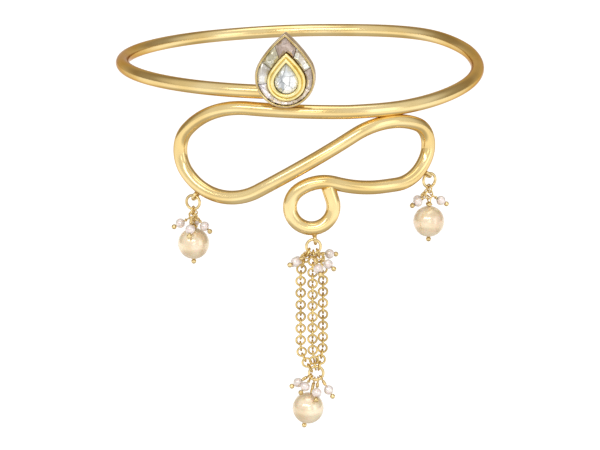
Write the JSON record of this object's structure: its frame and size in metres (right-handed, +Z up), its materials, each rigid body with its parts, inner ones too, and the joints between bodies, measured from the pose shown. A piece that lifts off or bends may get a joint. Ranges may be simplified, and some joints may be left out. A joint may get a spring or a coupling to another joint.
{
  "type": "bajuband armlet",
  "caption": "Open gold wire arm cuff ending in a looping scroll, with a pear-shaped stone setting, pearl drops and a chain tassel; worn round the upper arm",
  "frame": {"origin": "centre of the hoop at the height of its upper end", "axes": "+Z up along the arm, +X to the wearer's left of the setting, -Y out through the stone setting"},
  "size_m": [0.092, 0.0965, 0.096],
  "materials": {
    "gold": "polished",
    "bright_gold": "polished",
    "polki": "polished",
    "clear_stone": "polished",
    "golden_pearl": "pearl",
    "white_pearl": "pearl"
  },
  "bodies": {
    "root": {"armlet_wire": "gold", "centre_collar": "bright_gold", "centre_stone": "clear_stone", "border_stone_1": "polki", "border_stone_2": "polki", "border_stone_3": "polki", "border_stone_4": "polki", "border_stone_5": "polki", "border_stone_6": "polki", "border_stone_7": "polki", "border_stone_8": "polki", "left_ring": "gold", "left_links": "gold", "left_pearl": "golden_pearl", "left_pearl_pin": "gold", "left_seed_pins": "gold", "left_seed_1": "white_pearl", "left_seed_2": "white_pearl", "left_seed_3": "white_pearl", "left_seed_4": "white_pearl", "right_ring": "gold", "right_links": "gold", "right_pearl": "golden_pearl", "right_pearl_pin": "gold", "right_seed_pins": "gold", "right_seed_1": "white_pearl", "right_seed_2": "white_pearl", "right_seed_3": "white_pearl", "tassel_top_ring": "gold", "tassel_bottom_ring": "gold", "tassel_pearl": "golden_pearl", "tassel_pearl_pin": "gold", "chain_1": "gold", "chain_2": "gold", "chain_3": "gold", "top_seed_pins": "gold", "top_seed_1": "white_pearl", "top_seed_2": "white_pearl", "top_seed_3": "white_pearl", "top_seed_4": "white_pearl", "top_seed_5": "white_pearl", "bottom_seed_pins": "gold", "bottom_seed_1": "white_pearl", "bottom_seed_2": "white_pearl", "bottom_seed_3": "white_pearl", "bottom_seed_4": "white_pearl"}
  },
  "joints": []
}
